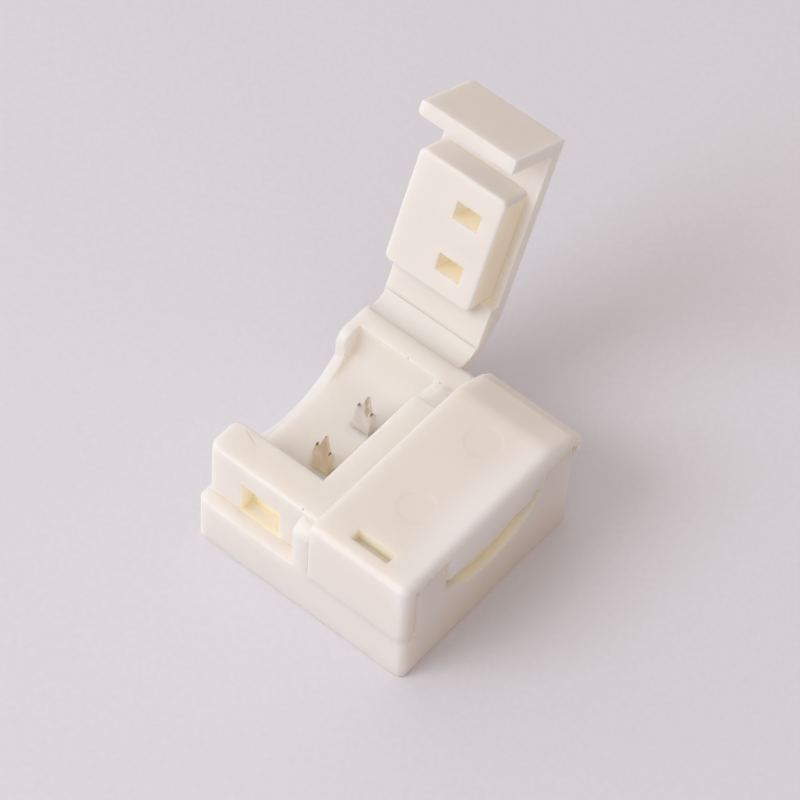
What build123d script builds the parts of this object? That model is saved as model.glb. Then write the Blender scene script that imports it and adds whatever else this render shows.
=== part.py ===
"""Two-lid snap connector that joins the ends of two flat two-wire LED strips.

X runs along the strip, Y from the latch side to the hinge side, Z up; sizes are in millimetres.
"""
import os
from math import cos, radians, sin, tan

from build123d import *

os.makedirs("parts", exist_ok=True)

# Strip that the connector takes
strip_width = 8.0
strip_thickness = 0.4
contact_pitch = 3.6

# Clearances
mouth_play = 0.17
channel_play = 0.35
pad_short = 0.15
lip_play = 0.1
lid_seat_play = 0.05
rear_seat_play = 0.1
root_play = 0.12
latch_play = 0.1
slot_play = 0.05
saddle_play = 0.1
pocket_play = 0.27
tooth_headroom = 0.2

# Housing
housing_length = 15.0
ledge_height = 3.6
ledge_depth = 0.9
floor_height = 4.3
channel_depth = 2.75
wall_rise = 0.7
front_wall = 2.4
back_wall = 2.8
back_rim = 1.6
end_wall = 0.6
bridge_width = 2.4
back_bevel_length = 0.3
back_bevel_drop = 0.25
corner_round = 0.5
wall_end_round = 0.6
edge_round = 0.2
foot_round = 0.25

# Strip mouths in the end walls
mouth_sill_rise = 0.95
mouth_arc_depth = 1.75
mouth_shoulder_round = 0.8

# Post between the two lips
post_width = 1.15
post_drop = 0.35
post_round = 0.7

# Latch windows and barbs
window_width = 2.8
window_height = 2.45
window_depth = 1.0
window_offset = 3.7
barb_width = 2.0
barb_offset = 3.9
barb_reach = 0.8
barb_ramp = 1.1
barb_foot = 0.25

# Lids
lid_gap = 1.46
plate_thickness = 0.85
plate_end_round = 0.5
lip_proud = 0.15
lip_edge_round = 0.35
open_lip_splay = 0.35
rear_slope_start = 2.3
rear_slope_round = 2.0
rear_knee_round = 0.5
rear_knee_setback = 0.1
rear_knee_drop = 1.0
rear_tip_reach = 0.46
rear_tip_rise = 0.36
rear_corner_inset = 0.12
rear_corner_drop = 0.17
pad_inset = 0.62
pad_set_forward = 0.2
pad_corner_round = 0.4
pad_face_round = 0.18
pocket_length = 1.75
lip_slot_length = 2.6
lip_slot_width = 0.75
lip_slot_offset = 4.1

# Living hinges
hinge_set_back = 0.34
hinge_drop = 0.56
open_angle = 111.0
web_foot = 0.4
web_foot_drop = 0.15
web_share = 0.75

# Contacts
sheet = 0.16
crown_length = 1.12
crown_width = 0.66
crown_offset = 3.32
crown_lean = 3.0
strip_cover = 0.35
tall_tooth_height = 3.2
tall_tooth_inset = 0.34
low_tooth_height = 2.1
low_tooth_inset = 0.2
notch_height = 1.9
notch_inset = 0.36
crown_fold_height = 2.0
crown_shoulder = 1.35
rear_sheet_height = 0.85
tooth_tip = 0.06

# Places that follow from the sizes
half_length = housing_length / 2
shoulder_height = floor_height + channel_depth
wall_height = shoulder_height + wall_rise
post_height = wall_height - post_drop
sill_height = floor_height + mouth_sill_rise
hinge_height = shoulder_height - hinge_drop
channel_width = strip_width + 2 * channel_play
housing_depth = ledge_depth + front_wall + channel_width + back_wall
front_y = -housing_depth / 2
back_y = housing_depth / 2
wall_y = front_y + ledge_depth
channel_y = wall_y + front_wall
middle_y = channel_y + channel_width / 2
rim_y = back_y - back_rim
bevel_y = back_y - back_bevel_length
bevel_end = shoulder_height - back_bevel_drop
mouth_half = strip_width / 2 + mouth_play
pad_half = strip_width / 2 - pad_short
pad_middle_y = middle_y - pad_set_forward
pad_rear_y = pad_middle_y + pad_half
pad_bottom = sill_height + strip_thickness
plate_bottom = wall_height + lid_seat_play
lid_top = plate_bottom + plate_thickness
heel_bottom = shoulder_height + rear_seat_play
root_bottom = shoulder_height - mouth_shoulder_round
root_round = heel_bottom - root_bottom
root_y = middle_y + mouth_half - root_play
lip_inner_y = wall_y - lip_play
lip_bottom = ledge_height + lid_seat_play
lid_end_x = lid_gap / 2
saddle_width = lid_gap - 2 * saddle_play
pad_end_x = lid_end_x + pad_inset
hinge_y = back_y + hinge_set_back
strip_top = floor_height - strip_cover
strip_bottom = strip_top - sheet
crown_near = crown_offset - crown_length / 2
crown_far = crown_offset + crown_length / 2
row_middles = (middle_y - contact_pitch / 2, middle_y + contact_pitch / 2)
clear_of_top = 2 * lid_top
hinge_axis = Axis((0, hinge_y, hinge_height), (1, 0, 0))


def box_between(x, y, z, mode=Mode.ADD):
    """A box from three pairs of limits."""
    with Locations(((x[0] + x[1]) / 2, (y[0] + y[1]) / 2, (z[0] + z[1]) / 2)):
        Box(abs(x[1] - x[0]), abs(y[1] - y[0]), abs(z[1] - z[0]), mode=mode)


def prism(plane, points, amount, mode=Mode.ADD):
    """A straight-sided outline on a plane, drawn out along the plane's normal."""
    with BuildSketch(plane) as outline:
        with BuildLine():
            Polyline(*points, close=True)
        make_face()
    extrude(outline.sketch, amount=amount, mode=mode)


def swung(y, z, angle):
    """Where a point of a shut lid's section lies once the lid has swung open by an angle."""
    ahead, above, turn = y - hinge_y, z - hinge_height, radians(angle)
    return (hinge_y + ahead * cos(turn) + above * sin(turn), hinge_height - ahead * sin(turn) + above * cos(turn))


def on_left_open(shape):
    """A shape of the shut right lid, mirrored to the left and swung open."""
    return mirror(shape, about=Plane.YZ, mode=Mode.PRIVATE).rotate(hinge_axis, -open_angle)


# Housing
with BuildPart() as housing:
    # Plinth with a ledge in front, and the body behind the ledge
    with BuildSketch():
        RectangleRounded(housing_length, housing_depth, corner_round)
    extrude(amount=ledge_height)
    with BuildSketch(Plane.XY.offset(ledge_height)):
        with Locations((0, (wall_y + back_y) / 2)):
            RectangleRounded(housing_length, back_y - wall_y, corner_round)
    extrude(amount=shoulder_height - ledge_height)

    # Back edge bevelled down to where the hinges leave
    bevel = ((bevel_y, shoulder_height), (back_y, bevel_end), (back_y, shoulder_height))
    prism(Plane.YZ.offset(-half_length), bevel, housing_length, Mode.SUBTRACT)

    # Front wall at full height, joined to the bridge between the channels
    bridge_end = pad_rear_y - rear_seat_play
    with BuildSketch(Plane.XY.offset(shoulder_height)):
        with Locations((0, wall_y + front_wall / 2)):
            RectangleRounded(housing_length, front_wall, wall_end_round)
        with Locations((0, (channel_y + bridge_end) / 2)):
            Rectangle(bridge_width, bridge_end - channel_y)
    extrude(amount=wall_rise)

    # Channels with a scooped back, closed by thin end walls
    channel_length = half_length - end_wall - bridge_width / 2
    for start in (bridge_width / 2, -bridge_width / 2 - channel_length):
        with BuildSketch(Plane.YZ.offset(start)):
            with BuildLine():
                Polyline((rim_y, shoulder_height), (rim_y, clear_of_top), (channel_y, clear_of_top),
                         (channel_y, floor_height), (rim_y - channel_depth, floor_height))
                RadiusArc((rim_y - channel_depth, floor_height), (rim_y, shoulder_height), -channel_depth)
            make_face()
        extrude(amount=channel_length, mode=Mode.SUBTRACT)

    # Mouths that let the strip in over a curved sill
    near, far = middle_y - mouth_half, middle_y + mouth_half
    for start in (half_length - end_wall, -half_length):
        with BuildSketch(Plane.YZ.offset(start)):
            with BuildLine():
                Polyline((far, sill_height), (far, shoulder_height - mouth_shoulder_round))
                RadiusArc((far, shoulder_height - mouth_shoulder_round), (far + mouth_shoulder_round, shoulder_height),
                          mouth_shoulder_round)
                Polyline((far + mouth_shoulder_round, shoulder_height), (far + mouth_shoulder_round, clear_of_top),
                         (near, clear_of_top), (near, sill_height))
                ThreePointArc((near, sill_height), (middle_y, sill_height - mouth_arc_depth), (far, sill_height))
            make_face()
        extrude(amount=end_wall, mode=Mode.SUBTRACT)
    fillet(housing.edges().group_by(Axis.Z)[-1], edge_round)
    fillet(housing.edges().group_by(Axis.Z)[0], foot_round)

    # Saddle between the lids' rear ends, sloping from the bridge down to the back wall
    saddle_start = bridge_end - 2 * edge_round
    saddle = ((saddle_start, shoulder_height), (saddle_start, wall_height), (rim_y, shoulder_height))
    prism(Plane.YZ.offset(-saddle_width / 2), saddle, saddle_width)

    # Post between the lips, rounded at its top
    with BuildSketch(Plane.YZ.offset(-post_width / 2)):
        with BuildLine():
            Polyline((front_y + post_round, post_height), (wall_y, post_height), (wall_y, ledge_height),
                     (front_y, ledge_height), (front_y, post_height - post_round))
            RadiusArc((front_y, post_height - post_round), (front_y + post_round, post_height), post_round)
        make_face()
    extrude(amount=post_width)

    # Latch windows
    for side in (-1, 1):
        window_x = (side * window_offset - window_width / 2, side * window_offset + window_width / 2)
        window_z = (ledge_height, ledge_height + window_height)
        box_between(window_x, (wall_y, wall_y + window_depth), window_z, Mode.SUBTRACT)

    # Slots that the contacts are pressed into from below, with wells for their crowns
    for row_y in row_middles:
        slot_y = (row_y - crown_width / 2 - slot_play, row_y + crown_width / 2 + slot_play)
        box_between((-crown_far - slot_play, crown_far + slot_play), slot_y, (0, strip_top), Mode.SUBTRACT)
        for side in (-1, 1):
            well_x = (side * (crown_near - slot_play), side * (crown_far + slot_play))
            box_between(well_x, slot_y, (strip_bottom, floor_height), Mode.SUBTRACT)
housing.part.label = "housing"
export_step(housing.part, "parts/housing.step")

# Section of a lid's rear end
corner = (hinge_y - rear_corner_inset, hinge_height - rear_corner_drop)
tip = (hinge_y + rear_tip_reach, hinge_height + rear_tip_rise)
knee = (back_y - rear_knee_setback, lid_top - rear_knee_drop)
hook = (back_y + rear_seat_play, bevel_end)


def is_outside(edge):
    """Whether an edge of a lid's end face lies on the lid's outer skin."""
    middle = edge.center()
    return middle.Z > plate_bottom or middle.Y < front_y


def lid(splay):
    """The right lid, shut, with its lip's lower end sprung out by a splay."""
    pad_y = (pad_middle_y - pad_half, pad_rear_y)
    with BuildPart() as pad:
        box_between((pad_end_x, half_length), pad_y, (pad_bottom, plate_bottom))
        fillet(pad.edges().filter_by(Axis.Z), pad_corner_round)
        fillet(pad.faces().sort_by(Axis.Z)[0].edges(), pad_face_round)
    with BuildPart() as piece:
        # Plate that turns down into the latch lip in front and slopes to the hinge behind
        lip_y = front_y - lip_proud
        slope_start = (back_y - rear_slope_start, lid_top)
        outside = ((lip_y - splay, lip_bottom), (lip_y, lid_top), slope_start, knee, tip, corner)
        heel = (hook, (bevel_y, heel_bottom), (pad_rear_y, heel_bottom), (pad_rear_y, plate_bottom))
        inside = ((lip_inner_y, plate_bottom), (lip_inner_y - splay, lip_bottom))
        prism(Plane.YZ.offset(lid_end_x), outside + heel + inside, half_length - lid_end_x)
        fillet(piece.edges().filter_by(Axis.X).sort_by_distance((lid_end_x, *knee))[0], rear_knee_round)
        fillet(piece.edges().filter_by(Axis.X).sort_by_distance((lid_end_x, *slope_start))[0], rear_slope_round)
        fillet([edge for edge in piece.faces().sort_by(Axis.X)[-1].edges() if is_outside(edge)], plate_end_round)
        fillet(piece.edges().filter_by(Axis.X).group_by(Axis.Z)[-1].sort_by(Axis.Y)[0], lip_edge_round)

        # Pad that presses the strip onto the crowns, with a pocket over each crown
        add(pad.part)

        # Root behind the pad, hollowed to clear the mouths' rounded shoulders
        with BuildSketch(Plane.YZ.offset(pad_end_x + pad_corner_round)):
            with BuildLine():
                Polyline((root_y, root_bottom), (pad_rear_y - pad_corner_round, root_bottom),
                         (pad_rear_y - pad_corner_round, plate_bottom), (root_y + root_round, plate_bottom),
                         (root_y + root_round, heel_bottom))
                RadiusArc((root_y + root_round, heel_bottom), (root_y, root_bottom), -root_round)
            make_face()
        extrude(amount=half_length - pad_end_x - pad_corner_round)
        for row_y in row_middles:
            pocket_x = (crown_near - pocket_play, crown_near - pocket_play + pocket_length)
            pocket_y = (row_y - crown_width / 2 - pocket_play, row_y + crown_width / 2 + pocket_play)
            pocket_z = (pad_bottom, floor_height + tall_tooth_height + tooth_headroom)
            box_between(pocket_x, pocket_y, pocket_z, Mode.SUBTRACT)

        # Slot above the barb
        slot_x = (lip_slot_offset - lip_slot_length / 2, lip_slot_offset + lip_slot_length / 2)
        box_between(slot_x, (lip_inner_y, lip_inner_y + lip_slot_width), (plate_bottom, lid_top), Mode.SUBTRACT)
    return piece


# Lids, the right one shut and the left one open
right_lid = lid(0)
right_lid.part.label = "right_lid"
export_step(right_lid.part, "parts/right_lid.step")
with BuildPart() as left_lid:
    add(on_left_open(lid(open_lip_splay).part))
left_lid.part.label = "left_lid"
export_step(left_lid.part, "parts/left_lid.step")


def barb(splay):
    """The right lip's barb, with a ramp that spreads the lip as the lid is pressed shut."""
    def lip_inside(z):
        return lip_inner_y - splay * (plate_bottom - z) / (plate_bottom - lip_bottom)
    low, high = lip_bottom + barb_foot, ledge_height + window_height - latch_play
    ramp_top = low + barb_ramp
    section = ((lip_inside(low), low), (lip_inside(ramp_top) + barb_reach, ramp_top),
               (lip_inside(high) + barb_reach, high), (lip_inside(high), high))
    with BuildPart() as piece:
        prism(Plane.YZ.offset(barb_offset - barb_width / 2), section, barb_width)
    return piece


# Latch barbs
right_barb = barb(0)
right_barb.part.label = "right_barb"
export_step(right_barb.part, "parts/right_barb.step")
with BuildPart() as left_barb:
    add(on_left_open(barb(open_lip_splay).part))
left_barb.part.label = "left_barb"
export_step(left_barb.part, "parts/left_barb.step")


def hinge_outline(angle):
    """Section of a hinge web, from the housing's back face to the end face of a lid opened by an angle."""
    far_end = (corner[0] + web_share * (tip[0] - corner[0]), corner[1] + web_share * (tip[1] - corner[1]))
    foot_top = hinge_height - web_foot_drop
    return ((back_y, foot_top - web_foot), swung(*far_end, angle), swung(*corner, angle), (back_y, foot_top))


# Living hinge of the right lid
hinge_length = half_length - corner_round - lid_end_x
with BuildPart() as right_hinge:
    prism(Plane.YZ.offset(lid_end_x), hinge_outline(0), hinge_length)
right_hinge.part.label = "right_hinge"
export_step(right_hinge.part, "parts/right_hinge.step")

# Living hinge of the left lid
with BuildPart() as left_hinge:
    prism(Plane.YZ.offset(-lid_end_x - hinge_length), hinge_outline(open_angle), hinge_length)
left_hinge.part.label = "left_hinge"
export_step(left_hinge.part, "parts/left_hinge.step")


def contact(row_y):
    """A contact: a strip along X with a toothed crown, folded up from sheet on three sides, at each end."""
    front, rear = row_y - crown_width / 2, row_y + crown_width / 2
    low, fold = floor_height + crown_shoulder, floor_height + crown_fold_height
    lean, slant = tan(radians(crown_lean)), 1 / cos(radians(crown_lean))
    with BuildPart() as piece:
        box_between((-crown_far, crown_far), (front, rear), (strip_bottom, strip_top))

        # Front sheet leaning back, with a low tooth at its outer end and the tall tooth at its inner end
        tall_x, low_x, notch_x = crown_near + tall_tooth_inset, crown_far - low_tooth_inset, crown_far - notch_inset
        heights = (crown_fold_height, tall_tooth_height, notch_height, low_tooth_height, crown_shoulder)
        inner, tall, notch, outer, shoulder = (slant * (floor_height + rise - strip_bottom) for rise in heights)
        front_sheet = ((crown_near, 0), (crown_near, inner), (tall_x - tooth_tip, tall), (tall_x, tall),
                       (notch_x, notch), (low_x - tooth_tip, outer), (low_x, outer), (crown_far, shoulder), (crown_far, 0))
        leaning = Plane(origin=(0, front, strip_bottom), x_dir=(1, 0, 0), z_dir=(0, -1, lean))
        prism(leaning, front_sheet, -sheet)

        # Rear sheet
        box_between((crown_near, crown_far), (rear - sheet, rear), (strip_bottom, floor_height + rear_sheet_height))

        # Inner sheet, falling back from the fold
        fold_y = front + lean * (fold - strip_bottom)
        inner_sheet = ((front, strip_bottom), (rear, strip_bottom), (rear, low), (fold_y + tooth_tip, fold), (fold_y, fold))
        prism(Plane.YZ.offset(crown_near), inner_sheet, sheet)
        mirror(about=Plane.YZ)
    return piece


# Contacts
front_contact = contact(row_middles[0])
front_contact.part.label = "front_contact"
export_step(front_contact.part, "parts/front_contact.step")
rear_contact = contact(row_middles[1])
rear_contact.part.label = "rear_contact"
export_step(rear_contact.part, "parts/rear_contact.step")
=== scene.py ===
"""Looks of the two-lid LED strip connector: ivory moulded plastic, plated contacts, soft studio stage."""

import math

import bpy
import numpy as np
from mathutils import Matrix, Vector


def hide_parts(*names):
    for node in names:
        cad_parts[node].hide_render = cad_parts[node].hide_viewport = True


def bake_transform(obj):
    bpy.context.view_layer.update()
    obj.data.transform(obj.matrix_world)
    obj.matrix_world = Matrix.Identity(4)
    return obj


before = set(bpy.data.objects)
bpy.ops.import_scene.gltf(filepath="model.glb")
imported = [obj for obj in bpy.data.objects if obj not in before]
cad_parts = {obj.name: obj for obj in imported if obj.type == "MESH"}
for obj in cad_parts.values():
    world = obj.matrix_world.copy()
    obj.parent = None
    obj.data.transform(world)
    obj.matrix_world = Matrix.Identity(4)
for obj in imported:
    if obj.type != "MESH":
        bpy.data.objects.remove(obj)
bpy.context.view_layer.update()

bl_info = {
    "name": "LED Strip Connector",
    "version": (1, 0, 0),
    "blender": (4, 5, 0),
    "location": "View3D > Sidebar > Strip Connector",
    "description": "Dresses the snap connector in moulded plastic and plated metal on a studio stage",
    "category": "Object",
}

MM = 0.001

# Plastic skin. Noise scales are in waves to a metre
DRIFT_SCALE, DRIFT_SHARE = 160.0, 0.015
WAVE_SCALE, WAVE_HEIGHT = 420.0, 0.03 * MM
GRAIN_SCALE, GRAIN_HEIGHT = 9000.0, 0.0022 * MM
GLOSS_SCALE, GLOSS_BELOW, GLOSS_ABOVE = 700.0, 0.05, 0.06
# Occlusion reach and samples that place the painted glow, and the share of the glow tone painted there
PAINTED_GLOW_REACH, PAINTED_GLOW_SAMPLES, PAINTED_GLOW_SHARE = 2.2 * MM, 6, 0.9
GLOW_RADII = (1.0, 0.95, 0.9)
PLASTIC_IOR = 1.46

# Tint of each piece's plastic, painted so that each piece matches the light it gets (the web's bluish tint
# is painted shade), its glow depth and its share of painted glow emission against the plastic's own
HOUSING_LOOK = ((0.96, 0.97, 0.985), 1.0, 1.0)
OPEN_LID_LOOK = ((0.965, 0.98, 1.0), 0.5, 1.3)
SHUT_LID_LOOK = ((0.975, 0.96, 0.97), 0.8, 0.5)
WEB_LOOK = ((0.94, 0.96, 0.985), 0.04, 1.0)

# Boxes painted in the glow tone, a painted light for light that crosses the plastic, over the windows, the
# right end's mouth, the shut lid's slot and the open lid's pad side: lowest corner, highest corner and soft
# edge in millimetres, share of painted glow emission
HOUSING_PAINTED_GLOW = (
    ((-5.15, -6.5, 3.4), (-2.25, -5.4, 6.2), 0.03, 0.4),
    ((2.25, -6.5, 3.4), (5.15, -5.4, 6.2), 0.03, 0.4),
    ((6.8, -4.0, 3.3), (7.47, 4.5, 5.5), 0.03, 0.4))
SHUT_LID_PAINTED_GLOW = (((2.75, -7.3, 7.6), (5.45, -5.6, 8.62), 0.03, 0.0),)
OPEN_LID_PAINTED_GLOW = (((-1.358, 5.0, 9.8), (-1.342, 14.0, 21.2), 0.013, 0.8),)

# Stains of the moulding, and patches of painted light and shade: centre and radii in millimetres, turn
# about Z in degrees, strength, colour
BROWN, GREY = (0.42, 0.30, 0.20), (0.36, 0.33, 0.31)
PAINTED_FOOT_SHADE, PAINTED_WINDOW_FLOOR_SHADE = (0.80, 0.70, 0.59), (0.785, 0.74, 0.635)
HOUSING_STAINS_AND_PAINTED_SHADE = (
    ((-6.03, -4.65, 7.75), (0.8, 0.09, 0.2), -23.5, 0.28, BROWN),
    ((-0.73, -6.39, 7.75), (0.1, 0.1, 0.2), 0.0, 0.7, GREY),
    # Painted shade: two brown patches where the bridge slopes down at its back
    ((-0.25, 5.56, 7.1), (0.4, 0.3, 0.4), 20.0, 0.16, BROWN),
    ((0.05, 5.14, 7.4), (0.3, 0.2, 0.4), 0.0, 0.16, BROWN),
    ((-6.0, 5.75, 7.05), (0.14, 0.07, 0.2), 0.0, 0.6, GREY),
    ((-5.0, 5.75, 7.05), (0.09, 0.05, 0.2), 0.0, 0.5, GREY),
    ((-3.36, 5.8, 7.05), (0.1, 0.06, 0.2), 0.0, 0.5, BROWN),
    ((-0.89, 5.64, 7.05), (0.12, 0.08, 0.2), 0.0, 0.6, GREY),
    # Painted shade: the housing's right side darker and warmer towards the floor
    ((7.6, 0.0, 1.6), (1.3, 10.0, 3.2), 0.0, 0.5, PAINTED_FOOT_SHADE),
    # Painted shade: the window floors toned darker over the painted glow
    ((-3.7, -6.05, 3.6), (2.2, 0.62, 0.12), 0.0, 0.8, PAINTED_WINDOW_FLOOR_SHADE),
    ((3.7, -6.05, 3.6), (2.2, 0.62, 0.12), 0.0, 0.8, PAINTED_WINDOW_FLOOR_SHADE))
# Painted highlight: a paler, cooler band along the shut lid's rounded right edge
SHUT_LID_PAINTED_HIGHLIGHT = (((7.6, -0.5, 8.0), (3.2, 12.0, 3.0), 0.0, 0.6, (0.90, 0.89, 0.90)),)
# Painted light: the open lid's outer side made paler
OPEN_LID_PAINTED_LIGHT = (((-0.5, 10.0, 14.0), (0.6, 30.0, 30.0), 0.0, 0.6, (0.95, 0.91, 0.87)),)

# Ejector marks: X, Y, radius and depth in millimetres
SHUT_LID_EJECTORS = ((4.2, 3.15, 1.1, 0.035), (4.2, -2.67, 1.1, 0.03))

# Plated metal: noise stretched along X, and the contacts' rows, tones and share of the olive band; the
# tones differ from contact to contact as painted light, the front one warmer and lighter, the rear one greyer
BRUSH_SCALE = (1500.0, 12000.0, 6000.0)
BRUSH_HEIGHT = 0.004 * MM
CLOUD_SCALE = 1400.0
METAL_SHARE = 0.9
CONTACTS = (
    ("front_contact", -1.55, (0.90, 0.79, 0.63), (0.99, 0.91, 0.75), 0.15),
    ("rear_contact", 2.05, (0.80, 0.75, 0.71), (0.88, 0.84, 0.81), 0.85))
# PAINTED_FOLD_SHADE is painted shade in each crown's fold and PAINTED_GLINT a painted highlight beside it
OLIVE, PAINTED_FOLD_SHADE, PAINTED_GLINT = (0.58, 0.50, 0.36), (0.10, 0.075, 0.055), (1.0, 0.98, 0.94)
DARK_TIP, GREY_TIP = (0.13, 0.10, 0.08), (0.24, 0.20, 0.17)

# Hinge webs: three control points of the upper and of the lower curve, in Y and Z, then the ends along X, in
# millimetres, and the points on each curve and straight side
LEFT_WEB = (((7.12, 7.03), (7.95, 6.47), (8.82, 7.3)), ((8.2, 6.2), (7.75, 6.02), (7.3, 5.92)), -0.76, -7.44)
RIGHT_WEB = (((7.3, 6.6), (7.45, 6.36), (7.66, 6.5)), ((8.0, 6.76), (7.72, 6.25), (7.3, 5.9)), 0.76, 7.44)
UPPER_POINTS, LOWER_POINTS, SIDE_POINTS = 48, 24, 5

# Stage
FLOOR_HALF = 1.2
FLOOR_SPECK_SCALE = 2500.0
FLOOR_ROUGHNESS = 0.7
BACKDROP = (0.80, 0.77, 0.79)
FAR_EDGE, NEAR_EDGE = -0.7, 0.9
KEY_SPOT, KEY_SIZE, KEY_COLOUR = (-0.12, -0.23, 0.24), 0.2, (0.87, 0.955, 1.0)

# Camera: focal length and width of the picture in pixels, angles in degrees, the point looked at and the
# offset from it along the camera's right, up and back in millimetres
FOCAL, PICTURE_WIDTH, SENSOR = 4215.88, 800.0, 36.0
CAMERA_ANGLES = (36.423, 53.493, 4.233)
CAMERA_AIM = (0.0, 0.0, 3.0)
CAMERA_OFFSET = (0.859, 5.320, 236.78)


# ---------------------------------------------------------------- properties

class StripConnectorPlastic(bpy.types.PropertyGroup):
    """Look of the moulded plastic."""
    tone: bpy.props.FloatVectorProperty(
        name="Plastic", description="Colour of the lit plastic", subtype="COLOR", size=3,
        min=0.0, max=1.0, default=(0.85, 0.79, 0.735))
    # Painted glow: a yellow tone painted deep in pockets, standing in for light that has crossed the plastic
    painted_glow_tone: bpy.props.FloatVectorProperty(
        name="Deep plastic", description="Colour deep in pockets, where light has crossed the plastic",
        subtype="COLOR", size=3, min=0.0, max=1.0, default=(0.96, 0.865, 0.70))
    glow: bpy.props.FloatProperty(
        name="Translucency", description="Share of the light that enters the plastic", default=1.0,
        min=0.0, max=1.0, subtype="FACTOR")
    glow_depth: bpy.props.FloatProperty(
        name="Glow depth", description="How far light spreads inside the plastic", default=1.8 * MM,
        min=0.0, unit="LENGTH")
    # Painted glow: emission in sheltered pockets, standing in for light that seeps through thin walls
    painted_glow_emission: bpy.props.FloatProperty(
        name="Seep", description="Light that seeps through the thin walls into deep pockets", default=0.085,
        min=0.0, max=1.0, subtype="FACTOR")
    roughness: bpy.props.FloatProperty(
        name="Roughness", description="Roughness of the moulded skin", default=0.56, min=0.0, max=1.0,
        subtype="FACTOR")


class StripConnectorHinge(bpy.types.PropertyGroup):
    """Sizes of the living hinges."""
    stations: bpy.props.IntProperty(
        name="Stations", description="Cross sections along a hinge web", default=48, min=8, max=200)
    end_round: bpy.props.FloatProperty(
        name="End rounding", description="Length over which a web's end rounds off", default=0.12 * MM,
        min=0.0, unit="LENGTH")


class StripConnectorStage(bpy.types.PropertyGroup):
    """Floor and lamps."""
    soft_side: bpy.props.FloatVectorProperty(
        name="Bright side", description="Direction from which the even light is strongest", size=3,
        subtype="XYZ", default=(-0.5, -0.35, 0.8))
    near_tone: bpy.props.FloatVectorProperty(
        name="Bright side tone", description="Colour of the even light from the bright side", subtype="COLOR",
        size=3, min=0.0, max=1.0, default=(1.0, 0.95, 0.92))
    far_tone: bpy.props.FloatVectorProperty(
        name="Far side tone", description="Colour of the even light from the far side", subtype="COLOR",
        size=3, min=0.0, max=1.0, default=(1.0, 0.73, 0.55))
    far_share: bpy.props.FloatProperty(
        name="Far side share",
        description="Strength of the even light from the far side against the bright side",
        default=0.2, min=0.0, max=1.0, subtype="FACTOR")
    floor_tone: bpy.props.FloatVectorProperty(
        name="Floor", description="Colour of the floor", subtype="COLOR", size=3, min=0.0, max=1.0,
        default=(0.735, 0.715, 0.77))
    key_power: bpy.props.FloatProperty(
        name="Key lamp", description="Power of the soft key lamp", default=0.5, min=0.0, unit="POWER")
    fill_strength: bpy.props.FloatProperty(
        name="Fill", description="Strength of the even light from all round", default=0.84, min=0.0)


# ---------------------------------------------------------------- node helpers

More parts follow.
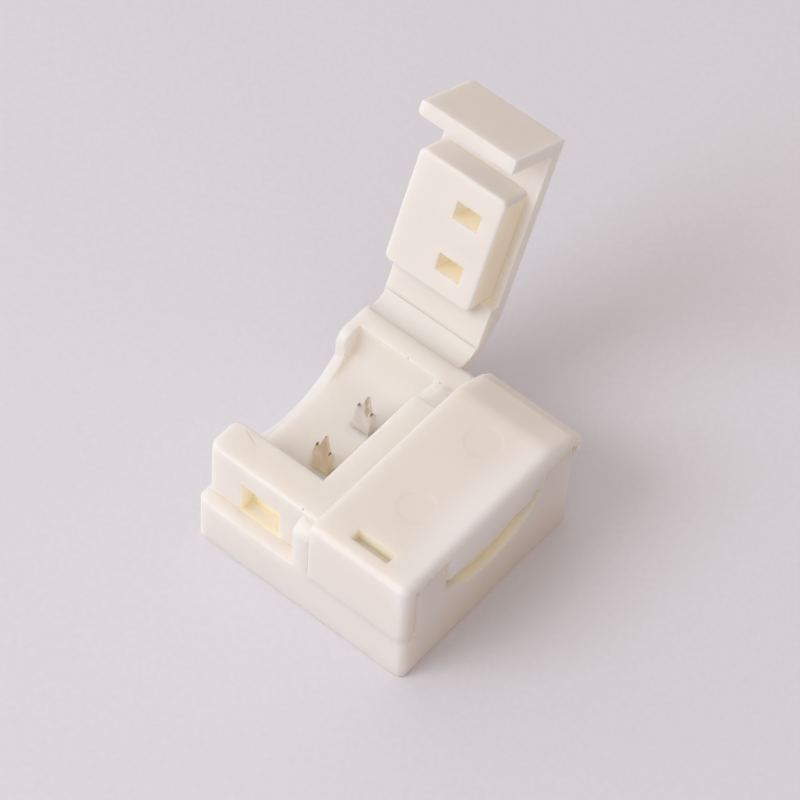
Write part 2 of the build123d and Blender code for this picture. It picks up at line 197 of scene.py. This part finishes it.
class Graph:
    """A material's node tree, with short calls to add nodes and read values from them."""

    def __init__(self, name):
        self.material = bpy.data.materials.new(name)
        self.material.use_nodes = True
        self.tree = self.material.node_tree
        self.tree.nodes.clear()

    @classmethod
    def of_tree(cls, tree):
        """A helper for a tree that belongs to no material, emptied first."""
        graph = cls.__new__(cls)
        graph.tree = tree
        tree.nodes.clear()
        return graph

    def node(self, kind, **settings):
        """A new node with the settings given."""
        item = self.tree.nodes.new(kind)
        for key, value in settings.items():
            setattr(item, key, value)
        return item

    def put(self, target, value):
        """Joins a socket to another, or sets its value."""
        if isinstance(value, bpy.types.NodeSocket):
            self.tree.links.new(value, target)
        else:
            target.default_value = value

    def math(self, operation, first, second=0.0):
        """One sum of one or two values."""
        item = self.node("ShaderNodeMath", operation=operation)
        self.put(item.inputs[0], first)
        self.put(item.inputs[1], second)
        return item.outputs[0]

    def ramp(self, value, low, high, to_low=0.0, to_high=1.0, smooth=True):
        """A value from low to high carried to to_low to to_high, and held there outside."""
        item = self.node("ShaderNodeMapRange", interpolation_type="SMOOTHSTEP" if smooth else "LINEAR")
        for socket, entry in zip(item.inputs, (value, low, high, to_low, to_high)):
            self.put(socket, entry)
        return item.outputs[0]

    def mix(self, share, first, second):
        """The first colour at share 0, the second at share 1."""
        item = self.node("ShaderNodeMix", data_type="RGBA")
        self.put(item.inputs["Factor"], share)
        self.put(item.inputs[6], first)
        self.put(item.inputs[7], second)
        return item.outputs[2]

    def noise(self, place, scale, detail=3.0, roughness=0.5):
        """Smooth noise between 0 and 1."""
        item = self.node("ShaderNodeTexNoise")
        self.put(item.inputs["Vector"], place)
        self.put(item.inputs["Scale"], scale)
        self.put(item.inputs["Detail"], detail)
        self.put(item.inputs["Roughness"], roughness)
        return item.outputs[0]

    def place(self):
        """Object coordinates, in metres."""
        return self.node("ShaderNodeTexCoord").outputs["Object"]

    def reach(self, place, centre, radii, turn=0.0):
        """Distance from a centre in units of three radii, after a turn about Z; sizes in millimetres."""
        item = self.node("ShaderNodeMapping", vector_type="TEXTURE")
        self.put(item.inputs["Vector"], place)
        self.put(item.inputs["Location"], [part * MM for part in centre])
        self.put(item.inputs["Rotation"], (0.0, 0.0, math.radians(turn)))
        self.put(item.inputs["Scale"], [part * MM for part in radii])
        length = self.node("ShaderNodeVectorMath", operation="LENGTH")
        self.put(length.inputs[0], item.outputs["Vector"])
        return length.outputs["Value"]

    def inside_box(self, place, low, high, edge):
        """1 inside a box and 0 outside, over a soft edge; sizes in millimetres."""
        axes = self.node("ShaderNodeSeparateXYZ")
        self.put(axes.inputs[0], place)
        share = 1.0
        for socket, start, end in zip(axes.outputs, low, high):
            middle, half = (start + end) / 2 * MM, (end - start) / 2 * MM
            depth = self.math("SUBTRACT", half, self.math("ABSOLUTE", self.math("SUBTRACT", socket, middle)))
            share = self.math("MULTIPLY", share, self.ramp(depth, 0.0, edge * MM))
        return share

    def surface(self):
        """The material's shader, joined to its output."""
        shader = self.node("ShaderNodeBsdfPrincipled")
        self.put(self.node("ShaderNodeOutputMaterial").inputs["Surface"], shader.outputs[0])
        return shader

    def with_stains_and_painted_light(self, place, colour, stains_and_painted_light, core):
        """A colour with soft spots over it, each at its strength within the core's share of its radii."""
        for centre, radii, turn, strength, spot_colour in stains_and_painted_light:
            mark = self.ramp(self.reach(place, centre, radii, turn), 1.0, core, 0.0, strength)
            colour = self.mix(mark, colour, rgba(spot_colour))
        return colour

    def raise_skin(self, shader, height):
        """Bumps the shader's surface by a height in metres."""
        bump = self.node("ShaderNodeBump")
        self.put(bump.inputs["Height"], height)
        bump.inputs["Distance"].default_value = 1.0
        bump.inputs["Strength"].default_value = 1.0
        self.put(shader.inputs["Normal"], bump.outputs[0])


def rgba(colour, gain=1.0):
    """A colour times a gain, held under 1, with its alpha."""
    return tuple(min(1.0, part * gain) for part in colour) + (1.0,)


# ---------------------------------------------------------------- materials

def moulded_plastic(name, look, own_look, ejectors=(), painted_glow_boxes=(), stains_and_painted_light=()):
    """Translucent ivory plastic. Height is a sum of broad waves, a fine spark-eroded grain and the rims of
    ejector marks; colour drifts slowly, takes a painted glow (the yellow glow tone painted in, with a faint
    emission, for light that crosses the plastic) where the surface is enclosed or lies in one of the given
    boxes, and takes small stains and patches of painted light and shade."""
    painted_light_tint, depth, painted_glow_emission_share = own_look
    graph = Graph(name)
    place = graph.place()
    shader = graph.surface()

    tone = [part * share for part, share in zip(look.tone, painted_light_tint)]
    drift = graph.ramp(graph.noise(place, DRIFT_SCALE, 2.0), 0.3, 0.7)
    skin = graph.mix(drift, rgba(tone, 1.0 - DRIFT_SHARE), rgba(tone, 1.0 + DRIFT_SHARE))
    # Painted glow: occlusion and the given boxes decide where the glow tone is painted and where the plastic
    # emits light
    painted_glow_occlusion = graph.node("ShaderNodeAmbientOcclusion", samples=PAINTED_GLOW_SAMPLES)
    graph.put(painted_glow_occlusion.inputs["Distance"], PAINTED_GLOW_REACH)
    painted_glow_mask = graph.ramp(painted_glow_occlusion.outputs["AO"], 0.55, 0.1)
    painted_glow_colour_mask = graph.math("MULTIPLY", painted_glow_mask, PAINTED_GLOW_SHARE)
    for low, high, edge, painted_glow_emission in painted_glow_boxes:
        painted_glow_box = graph.inside_box(place, low, high, edge)
        painted_glow_colour_mask = graph.math("MAXIMUM", painted_glow_colour_mask, painted_glow_box)
        painted_glow_mask = graph.math("MAXIMUM", painted_glow_mask, graph.math("MULTIPLY", painted_glow_box, painted_glow_emission))
    colour = graph.mix(painted_glow_colour_mask, skin, rgba(look.painted_glow_tone))
    graph.put(shader.inputs["Base Color"], graph.with_stains_and_painted_light(place, colour, stains_and_painted_light, 0.3))
    # Painted glow: the plastic emits the glow tone in sheltered places though it is no lamp
    graph.put(shader.inputs["Emission Color"], rgba(look.painted_glow_tone))
    graph.put(shader.inputs["Emission Strength"],
              graph.math("MULTIPLY", painted_glow_mask, look.painted_glow_emission * painted_glow_emission_share))

    waves = graph.math("MULTIPLY", graph.noise(place, WAVE_SCALE, 2.0), WAVE_HEIGHT)
    grain = graph.math("MULTIPLY", graph.noise(place, GRAIN_SCALE, 4.0, 0.6), GRAIN_HEIGHT)
    height = graph.math("ADD", waves, grain)
    for x, y, radius, sink in ejectors:
        reach = graph.reach(place, (x, y, 0.0), (radius, radius, 1000.0))
        height = graph.math("ADD", height, graph.ramp(reach, 0.86, 1.12, -sink * MM, 0.0))
    graph.raise_skin(shader, height)

    gloss = graph.ramp(graph.noise(place, GLOSS_SCALE, 3.0), 0.25, 0.75,
                       look.roughness - GLOSS_BELOW, look.roughness + GLOSS_ABOVE)
    graph.put(shader.inputs["Roughness"], gloss)
    shader.inputs["IOR"].default_value = PLASTIC_IOR
    shader.inputs["Subsurface Weight"].default_value = look.glow
    shader.inputs["Subsurface Radius"].default_value = GLOW_RADII
    shader.inputs["Subsurface Scale"].default_value = look.glow_depth * depth
    return graph.material


def plated_contact(name, dark, light, stains_and_painted_light):
    """Tin-plated spring metal: warm grey, brushed along X, with marks on the teeth, painted shade in the
    folds and painted glints.
    """
    graph = Graph(name)
    place = graph.place()
    shader = graph.surface()
    stretch = graph.node("ShaderNodeMapping")
    graph.put(stretch.inputs["Vector"], place)
    stretch.inputs["Scale"].default_value = BRUSH_SCALE
    lines = graph.noise(stretch.outputs[0], 1.0, 4.0, 0.6)
    clouds = graph.ramp(graph.noise(place, CLOUD_SCALE, 3.0), 0.35, 0.65)
    colour = graph.mix(clouds, rgba(dark), rgba(light))
    graph.put(shader.inputs["Base Color"], graph.with_stains_and_painted_light(place, colour, stains_and_painted_light, 0.4))
    graph.put(shader.inputs["Roughness"], graph.ramp(lines, 0.3, 0.7, 0.28, 0.46))
    shader.inputs["Metallic"].default_value = METAL_SHARE
    graph.raise_skin(shader, graph.math("MULTIPLY", lines, BRUSH_HEIGHT))
    return graph.material


def crown_marks_and_painted_light(row, olive):
    """Marks on both crowns of a contact at a row's Y: dark tips, painted shade in the fold with a painted
    highlight beside it, and an olive band down the tall tooth."""
    stains_and_painted_light = []
    for side in (-1, 1):
        stains_and_painted_light += [
            ((side * 3.12, row - 0.25, 7.0), (0.19, 0.5, 0.55), 0.0, olive, OLIVE),
            ((side * 3.02, row - 0.25, 6.25), (0.24, 0.5, 0.6), 0.0, olive, OLIVE),
            ((side * 2.72, row - 0.04, 6.1), (0.16, 0.3, 0.2), 0.0, 0.95, PAINTED_FOLD_SHADE),
            ((side * 2.86, row - 0.24, 6.06), (0.1, 0.12, 0.1), 0.0, 1.0, PAINTED_GLINT),
            ((side * 3.68, row - 0.22, 6.34), (0.15, 0.25, 0.2), 0.0, 0.9, DARK_TIP),
            ((side * 3.08, row - 0.18, 7.48), (0.1, 0.13, 0.16), 0.0, 0.7, GREY_TIP)]
    return stains_and_painted_light


def dress(node, material):
    """Gives a CAD node's object its one material."""
    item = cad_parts[node]
    item.data.materials.clear()
    item.data.materials.append(material)


# ---------------------------------------------------------------- surfaces

def curve_points(controls, count):
    """Quadratic curve through three control points: (1-t)^2 a + 2 t (1-t) b + t^2 c at evenly spaced t."""
    t = np.linspace(0.0, 1.0, count)[:-1, None]
    first, middle, last = np.asarray(controls, float)
    return (1 - t) ** 2 * first + 2 * t * (1 - t) * middle + t ** 2 * last


def web_mesh(name, upper, lower, near, far, stations, end_round):
    """Closed surface of two parameters. The first runs round a closed section in Y and Z, made of the upper
    curve, a straight side, the lower curve and a straight side; the second runs along X from near to far.
    The section shrinks towards its middle by sqrt(1 - u^2) over the rounding length at each end, where u
    runs from 0 to 1, and closes there in a fan round one point."""
    upper, lower = np.asarray(upper, float), np.asarray(lower, float)
    side_in = (upper[2], (upper[2] + lower[0]) / 2, lower[0])
    side_out = (lower[2], (lower[2] + upper[0]) / 2, upper[0])
    loop = np.concatenate([curve_points(upper, UPPER_POINTS), curve_points(side_in, SIDE_POINTS),
                           curve_points(lower, LOWER_POINTS), curve_points(side_out, SIDE_POINTS)])
    after = np.roll(loop, -1, axis=0)
    if np.sum(loop[:, 0] * after[:, 1] - after[:, 0] * loop[:, 1]) * (far - near) < 0:
        loop = loop[::-1]
    count = len(loop)
    along = 0.5 - 0.5 * np.cos(np.pi * np.linspace(0.0, 1.0, stations))
    x = near + (far - near) * along
    depth = np.minimum(np.abs(x - near), np.abs(x - far)) / end_round
    size = np.sqrt(1 - (1 - np.clip(depth, 0.0, 1.0)) ** 2)[1:-1, None, None]
    middle = loop.mean(axis=0)
    rings = middle + (loop - middle)[None] * size
    x_grid = np.broadcast_to(x[1:-1, None, None], rings.shape[:2] + (1,))
    points = np.concatenate([np.concatenate([x_grid, rings], axis=2).reshape(-1, 3),
                             [[near, *middle], [far, *middle]]])
    row = np.arange(stations - 3)[:, None] * count
    step = np.arange(count)[None]
    turn = (step + 1) % count
    quads = np.stack([row + step, row + turn, row + count + turn, row + count + step], axis=-1)
    last, start, end = (stations - 3) * count, len(points) - 2, len(points) - 1
    caps = np.concatenate([np.stack([np.full(count, start), turn[0], step[0]], axis=1),
                           np.stack([np.full(count, end), last + step[0], last + turn[0]], axis=1)])
    mesh = bpy.data.meshes.new(name)
    mesh.from_pydata(points * MM, [], quads.reshape(-1, 4).tolist() + caps.tolist())
    mesh.polygons.foreach_set("use_smooth", np.ones(len(mesh.polygons), bool))
    mesh.update()
    item = bpy.data.objects.new(name, mesh)
    bpy.context.scene.collection.objects.link(item)
    return item


# ---------------------------------------------------------------- stage

def studio_floor(scene, stage):
    """A pale matt floor with a faint speck, square about the origin."""
    graph = Graph("Studio_floor")
    shader = graph.surface()
    speck = graph.ramp(graph.noise(graph.place(), FLOOR_SPECK_SCALE, 2.0), 0.35, 0.65)
    tone = graph.mix(speck, rgba(stage.floor_tone, 0.99), rgba(stage.floor_tone, 1.01))
    graph.put(shader.inputs["Base Color"], tone)
    shader.inputs["Roughness"].default_value = FLOOR_ROUGHNESS
    corners = [(x * FLOOR_HALF, y * FLOOR_HALF, 0.0) for x, y in ((-1, -1), (1, -1), (1, 1), (-1, 1))]
    mesh = bpy.data.meshes.new("floor")
    mesh.from_pydata(corners, [], [(0, 1, 2, 3)])
    mesh.materials.append(graph.material)
    floor = bpy.data.objects.new("floor", mesh)
    scene.collection.objects.link(floor)


def studio_light(scene, stage):
    """Even light that is strongest from the bright side, behind a plain backdrop, and a soft key lamp."""
    world = bpy.data.worlds.new("Studio")
    world.use_nodes = True
    scene.world = world
    sky = Graph.of_tree(world.node_tree)
    background = sky.node("ShaderNodeBackground")
    sky.put(sky.node("ShaderNodeOutputWorld").inputs["Surface"], background.outputs[0])
    facing = sky.node("ShaderNodeVectorMath", operation="DOT_PRODUCT")
    sky.put(facing.inputs[0], sky.node("ShaderNodeTexCoord").outputs["Generated"])
    facing.inputs[1].default_value = Vector(stage.soft_side).normalized()
    share = sky.ramp(facing.outputs["Value"], FAR_EDGE, NEAR_EDGE)
    light = sky.mix(share, rgba(stage.far_tone), rgba(stage.near_tone))
    path = sky.node("ShaderNodeLightPath").outputs
    seen = sky.math("MAXIMUM", path["Is Camera Ray"], path["Is Glossy Ray"])
    seen = sky.math("MAXIMUM", seen, path["Is Transmission Ray"])
    sky.put(background.inputs["Color"], sky.mix(seen, light, rgba(BACKDROP)))
    lit = sky.ramp(share, 0.0, 1.0, stage.fill_strength * stage.far_share, stage.fill_strength, smooth=False)
    sky.put(background.inputs["Strength"], sky.math("MAXIMUM", seen, lit))

    data = bpy.data.lights.new("key_lamp", "AREA")
    data.shape = "DISK"
    data.size = KEY_SIZE
    data.energy = stage.key_power
    data.color = KEY_COLOUR
    lamp = bpy.data.objects.new("key_lamp", data)
    lamp.location = KEY_SPOT
    lamp.rotation_euler = (-Vector(KEY_SPOT)).to_track_quat("-Z", "Y").to_euler()
    scene.collection.objects.link(lamp)


def photo_camera(scene):
    """The camera at the photograph's angle, turned about Z, raised, and rolled about its own axis."""
    data = bpy.data.cameras.new("camera")
    data.sensor_width = SENSOR
    data.lens = FOCAL / PICTURE_WIDTH * SENSOR
    data.clip_start = 0.01
    data.clip_end = 10.0
    camera = bpy.data.objects.new("camera", data)
    turn, rise, roll = (math.radians(angle) for angle in CAMERA_ANGLES)
    back = Vector((math.sin(turn) * math.cos(rise), -math.cos(turn) * math.cos(rise), math.sin(rise)))
    level = Vector((math.cos(turn), math.sin(turn), 0.0))
    upward = back.cross(level)
    right = math.cos(roll) * level + math.sin(roll) * upward
    up = -math.sin(roll) * level + math.cos(roll) * upward
    across, above, away = CAMERA_OFFSET
    place = Vector(CAMERA_AIM) + across * right + above * up + away * back
    turned = Matrix((right, up, back)).transposed().to_4x4()
    camera.matrix_world = Matrix.Translation(place * MM) @ turned
    scene.collection.objects.link(camera)
    scene.camera = camera


# ---------------------------------------------------------------- operators

class STRIPCONNECTOR_OT_plastic(bpy.types.Operator):
    """Finish the housing, both lids and their barbs in moulded plastic"""
    bl_idname = "strip_connector.plastic"
    bl_label = "Finish moulded plastic"

    def execute(self, context):
        look = context.scene.strip_connector_plastic
        housing = moulded_plastic("Moulded_plastic_housing", look, HOUSING_LOOK,
                                  painted_glow_boxes=HOUSING_PAINTED_GLOW, stains_and_painted_light=HOUSING_STAINS_AND_PAINTED_SHADE)
        opened = moulded_plastic("Moulded_plastic_left_lid", look, OPEN_LID_LOOK,
                                 painted_glow_boxes=OPEN_LID_PAINTED_GLOW, stains_and_painted_light=OPEN_LID_PAINTED_LIGHT)
        shut = moulded_plastic("Moulded_plastic_right_lid", look, SHUT_LID_LOOK, SHUT_LID_EJECTORS,
                               SHUT_LID_PAINTED_GLOW, SHUT_LID_PAINTED_HIGHLIGHT)
        for node, material in (("housing", housing), ("left_lid", opened), ("left_barb", opened),
                               ("right_lid", shut), ("right_barb", shut)):
            dress(node, material)
        return {"FINISHED"}


class STRIPCONNECTOR_OT_contacts(bpy.types.Operator):
    """Finish the contacts in tin-plated metal"""
    bl_idname = "strip_connector.contacts"
    bl_label = "Finish contacts"

    def execute(self, context):
        for node, row, dark, light, olive in CONTACTS:
            dress(node, plated_contact("Plated_" + node, dark, light, crown_marks_and_painted_light(row, olive)))
        return {"FINISHED"}


class STRIPCONNECTOR_OT_hinges(bpy.types.Operator):
    """Shape the living hinges that join the lids to the housing"""
    bl_idname = "strip_connector.hinges"
    bl_label = "Shape living hinges"

    def execute(self, context):
        sizes = context.scene.strip_connector_hinge
        look = context.scene.strip_connector_plastic
        material = moulded_plastic("Moulded_plastic_thin", look, WEB_LOOK)
        stations, end_round = sizes.stations, sizes.end_round / MM
        left = web_mesh("left_living_hinge", *LEFT_WEB, stations, end_round)
        right = web_mesh("right_living_hinge", *RIGHT_WEB, stations, end_round)
        for item, body in ((left, "left_flap"), (right, "right_flap")):
            item.data.materials.append(material)
            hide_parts(body.replace("flap", "hinge"))
            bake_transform(item)
        return {"FINISHED"}


class STRIPCONNECTOR_OT_stage(bpy.types.Operator):
    """Set the floor, the lamps and the camera"""
    bl_idname = "strip_connector.stage"
    bl_label = "Set stage"

    def execute(self, context):
        stage = context.scene.strip_connector_stage
        context.scene.view_settings.view_transform = "Standard"
        studio_floor(context.scene, stage)
        studio_light(context.scene, stage)
        photo_camera(context.scene)
        return {"FINISHED"}


class STRIPCONNECTOR_PT_panel(bpy.types.Panel):
    """Lists the connector's settings and its steps"""
    bl_label = "Strip Connector"
    bl_idname = "STRIPCONNECTOR_PT_panel"
    bl_space_type = "VIEW_3D"
    bl_region_type = "UI"
    bl_category = "Strip Connector"

    def draw(self, context):
        for group in GROUPS:
            box = self.layout.box()
            settings = getattr(context.scene, group)
            for key in settings.__annotations__:
                box.prop(settings, key)
        for step in STEPS:
            self.layout.operator(step)


CLASSES = (StripConnectorPlastic, StripConnectorHinge, StripConnectorStage, STRIPCONNECTOR_OT_plastic,
           STRIPCONNECTOR_OT_contacts, STRIPCONNECTOR_OT_hinges, STRIPCONNECTOR_OT_stage,
           STRIPCONNECTOR_PT_panel)
GROUPS = {"strip_connector_plastic": StripConnectorPlastic, "strip_connector_hinge": StripConnectorHinge,
          "strip_connector_stage": StripConnectorStage}
STEPS = ("strip_connector.plastic", "strip_connector.contacts", "strip_connector.hinges",
         "strip_connector.stage")


def register():
    for item in CLASSES:
        bpy.utils.register_class(item)
    for name, group in GROUPS.items():
        setattr(bpy.types.Scene, name, bpy.props.PointerProperty(type=group))


def unregister():
    for name in GROUPS:
        delattr(bpy.types.Scene, name)
    for item in reversed(CLASSES):
        bpy.utils.unregister_class(item)


def main():
    register()
    for step in STEPS:
        group, name = step.split(".")
        getattr(getattr(bpy.ops, group), name)()


if __name__ == "__main__":
    main()
